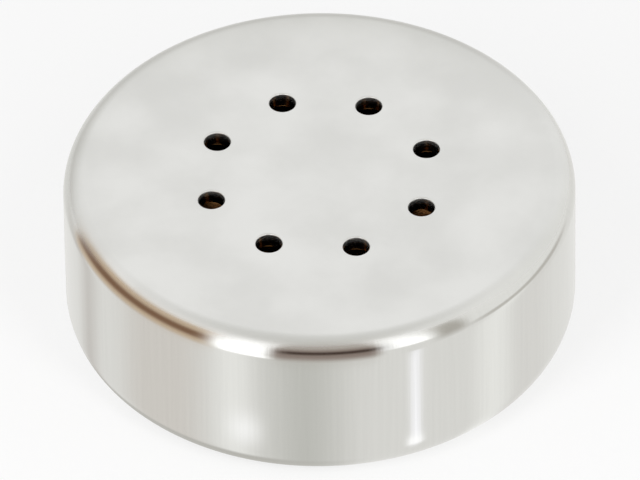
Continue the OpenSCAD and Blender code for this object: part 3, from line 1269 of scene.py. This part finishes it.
# Painted reflections that the wall shows: the table in lighter and darker stripes, painted highlights and
# the painted shade at the foot.
FRONT_FAN = Surround("reflection_floor", Tone.TABLE, (
    Patch.stripe(-4.0, 7.5, Tone.TABLE_DARK, 17.0),
    Patch.stripe(-65.0, 3.0, Tone.TABLE_BROWN, 8.0),
    Patch.stripe(-39.0, 10.0, Tone.TABLE_WARM, 12.0),
    Patch.stripe(55.0, 6.0, Tone.TABLE_GREY, 9.0),
    Patch.stripe(42.0, 4.5, Tone.TABLE_LIGHT, 8.0),
    Patch.stripe(-20.3, 3.6, Tone.TABLE_LIGHT, 7.0),
    # Painted highlights that the wall reflects: a streak, a soft blob and a spot at the rim.
    Patch(21.4, 1.3 * MM, 1.0, 1.0 * MM, Tone.HIGHLIGHT_STREAK, 2.2, 0.5 * MM),
    Patch(-17.8, 0.75 * MM, 3.2, 0.2 * MM, Tone.HIGHLIGHT_BLOB, 7.0, 0.5 * MM),
    Patch(21.2, 0.42 * MM, 1.8, 0.1 * MM, Tone.HIGHLIGHT_SPOT, 2.4, 0.2 * MM),
    # Painted reflection of the left lamp on the table, below the front edge.
    Patch(-16.5, FAR, 5.5, FAR - 3.4 * MM, Tone.LAMP_HIGHLIGHT, 3.0, 0.8 * MM),
    Patch(-40.0, -0.5 * MM, 40.0, 0.56 * MM, Tone.FOOT_SHADE, 30.0, 0.12 * MM),
))
# Painted reflection of the table behind: a darker middle with lighter and dimmer stripes.
REAR_FAN = Surround("reflection_floor_rear", Tone.TABLE, (
    Patch.stripe(0.0, 8.0, Tone.TABLE_REAR, 16.0),
    Patch.stripe(-19.0, 4.0, Tone.TABLE_LIGHT, 7.0),
    Patch.stripe(24.0, 3.0, Tone.TABLE_LIGHT, 6.0),
    Patch.stripe(-40.0, 8.0, Tone.TABLE_DIM, 12.0),
    Patch.stripe(50.0, 8.0, Tone.TABLE_DIM, 12.0),
))


@dataclass
class Studio:
    """Pale floor, white surroundings, soft lamps, the cards that the metal reflects and the camera.

    Attributes:
        floor_side: side of the square floor.
        floor_drop: depth of the floor under the capsule's rim.
        floor_colour: colour of the floor.
        floor_white: share of plain white in it, where the rest takes shadow.
        ambient: level of the surroundings as light.
        dome_radius: radius of the dome.
        dome_foot: lowest elevation of the dome in degrees.
        screen_gap: distance of the screen from the can's wall.
        screen_span: lowest and highest height of the screen.
        screen_rows: rows of points over that height.
        fan_reach: nearest and farthest reach of the fans from the wall's foot.
        fan_angle: angle that a fan covers on each side in degrees.
        fan_rows: points along the reach.
        fan_power: how much closer they lie near the wall, where 1 is even.
        fan_columns: points across the angle.
        fan_lift: height of the front fan, and twice that of the rear one.
        frame_width: width at the capsule that the picture covers.
        camera_distance: distance of the camera from the point that it aims at.
        camera_azimuth: azimuth of the camera in degrees.
        camera_elevation: elevation of the camera in degrees.
        camera_roll: roll of the camera in degrees.
        camera_near: distance from which the camera sees.
        aim_height: height of the point that it aims at.
        sensor: width of the camera's sensor in millimetres.
    """

    floor_side: float = 0.5
    floor_drop: float = 0.005 * MM
    floor_colour: Colour = (0.95, 0.95, 0.95)
    floor_white: float = 0.68
    ambient: float = 0.62
    dome_radius: float = 80.0 * MM
    dome_foot: float = -2.0
    screen_gap: float = 0.6 * MM
    screen_span: Point = (0.9 * MM, 3.9 * MM)
    screen_rows: int = 107
    fan_reach: Point = (-0.4 * MM, FAR)
    fan_angle: float = 88.0
    fan_rows: int = 201
    fan_power: int = 3
    fan_columns: int = 441
    fan_lift: float = 0.01 * MM
    frame_width: float = 7.52 * MM
    camera_distance: float = 0.17
    camera_azimuth: float = 4.06
    camera_elevation: float = 42.32
    camera_roll: float = 0.74
    camera_near: float = 1.0 * MM
    aim_height: float = 1.055 * MM
    sensor: float = 36.0

    def floor(self) -> None:
        """Lays the floor: nearly white, with a share of the capsule's shadow, and clear from below."""
        corners = np.array(((-1.0, -1.0), (1.0, -1.0), (1.0, 1.0), (-1.0, 1.0)))
        mesh = bpy.data.meshes.new("floor")
        mesh.from_pydata(lifted(self.floor_side / 2.0 * corners, -self.floor_drop), [], [(0, 1, 2, 3)])
        material = bpy.data.materials.new("floor_paper")
        graph = Graph.fresh(material)
        paper = graph.add("ShaderNodeBsdfDiffuse", {"Color": self.floor_colour}).outputs[0]
        white = graph.add("ShaderNodeEmission", {"Color": Tone.WHITE.value}).outputs[0]
        clear = graph.add("ShaderNodeBsdfTransparent").outputs[0]
        share = graph.math("MULTIPLY", self.seen(graph), self.floor_white)
        under = graph.add("ShaderNodeNewGeometry").outputs["Backfacing"]
        surface = graph.mixed(under, graph.mixed(share, paper, white), clear)
        graph.add("ShaderNodeOutputMaterial", {"Surface": surface})
        mesh.materials.append(material)
        placed("floor", mesh)

    @staticmethod
    def seen(graph: Graph) -> Socket:
        """Tells what is looked at from what only gives light.

        Args:
            graph: graph of a material or of the world.

        Returns:
            1 for rays of the camera, of reflections and through clear pieces, and 0 for the rest.
        """
        ray = graph.add("ShaderNodeLightPath")
        seen = graph.math("MAXIMUM", ray.outputs["Is Camera Ray"], ray.outputs["Is Glossy Ray"])
        return graph.math("MAXIMUM", seen, ray.outputs["Is Transmission Ray"])

    def surroundings(self) -> None:
        """White for what the camera and reflections see, and a softer level as light."""
        world = bpy.data.worlds.new("studio")
        bpy.context.scene.world = world
        graph = Graph.fresh(world)
        light, white = (
            graph.add("ShaderNodeBackground", {"Color": Tone.WHITE.value, "Strength": strength}).outputs[0]
            for strength in (self.ambient, 1.0)
        )
        graph.add("ShaderNodeOutputWorld", {"Surface": graph.mixed(self.seen(graph), light, white)})

    def _stand(self, card: Surround, grid: Array, azimuth: Array, level: Array, turn: float = 0.0) -> None:
        """Builds a card that faces the camera's side, or is turned away from it by an angle."""
        card.build(turned(grid, self.camera_azimuth + turn), azimuth, level)

    def cards(self) -> None:
        """Sets up the dome over the capsule, the low screen round it and the two floor fans.

        The dome is a sphere by azimuth and elevation, and the screen a cylinder by azimuth and
        height. The wall at angle a from the camera sends its view to azimuth 2a, so the front fan's
        points are the wall's foot plus a reach along that way. The rear fan is the same, half a turn
        on and half as high.
        """
        degrees = np.arange(-HALF_TURN, HALF_TURN + 1.0)
        azimuth, elevation = np.meshgrid(degrees, np.arange(self.dome_foot, ZENITH + 1.0), indexing="ij")
        self._stand(DOME, self.dome_radius * outward(azimuth, elevation), azimuth, elevation)
        foot = levels("can")[0]
        heights = np.linspace(*self.screen_span, self.screen_rows)
        azimuth, height = np.meshgrid(degrees, heights, indexing="ij")
        screen = (foot + self.screen_gap) * outward(azimuth) + height[..., None] * UP
        self._stand(SCREEN, screen, azimuth, height)
        near, far = self.fan_reach
        reaches = near + (far - near) * np.linspace(0.0, 1.0, self.fan_rows) ** self.fan_power
        angles = np.linspace(-self.fan_angle, self.fan_angle, self.fan_columns)
        angle, reach = np.meshgrid(angles, reaches, indexing="ij")
        fan = foot * outward(angle) + reach[..., None] * outward(2.0 * angle)
        self._stand(FRONT_FAN, fan + self.fan_lift * UP, angle, reach)
        self._stand(REAR_FAN, fan + self.fan_lift / 2.0 * UP, angle, reach, HALF_TURN)

    def camera(self) -> None:
        """Sets the camera so that the frame's width covers a known width at the capsule."""
        data = bpy.data.cameras.new("camera")
        data.sensor_width = self.sensor
        data.lens = self.sensor * self.camera_distance / self.frame_width
        data.clip_start = self.camera_near
        data.dof.use_dof = False
        camera = placed("camera", data)
        back = Vector(outward(self.camera_azimuth, self.camera_elevation))
        camera.location = back * self.camera_distance + Vector(UP) * self.aim_height
        roll = Matrix.Rotation(-math.radians(self.camera_roll), 3, "Z")
        camera.rotation_euler = (back.to_track_quat("Z", "Y").to_matrix() @ roll).to_euler()
        bpy.context.scene.camera = camera

    def build(self) -> None:
        """Builds the whole studio."""
        bpy.context.scene.view_settings.view_transform = "Standard"
        self.floor()
        self.surroundings()
        for lamp in LAMPS:
            lamp.build()
        self.cards()
        self.camera()


def main() -> None:
    """Builds the capsule from the outside in, then the studio."""
    logging.basicConfig(level=logging.INFO, format="%(name)s %(message)s")
    for part in (Can(), SoundCell(), Chamber(), Board(), Studio()):
        LOG.info("building %s", type(part).__name__)
        part.build()


if __name__ == "__main__":
    main()
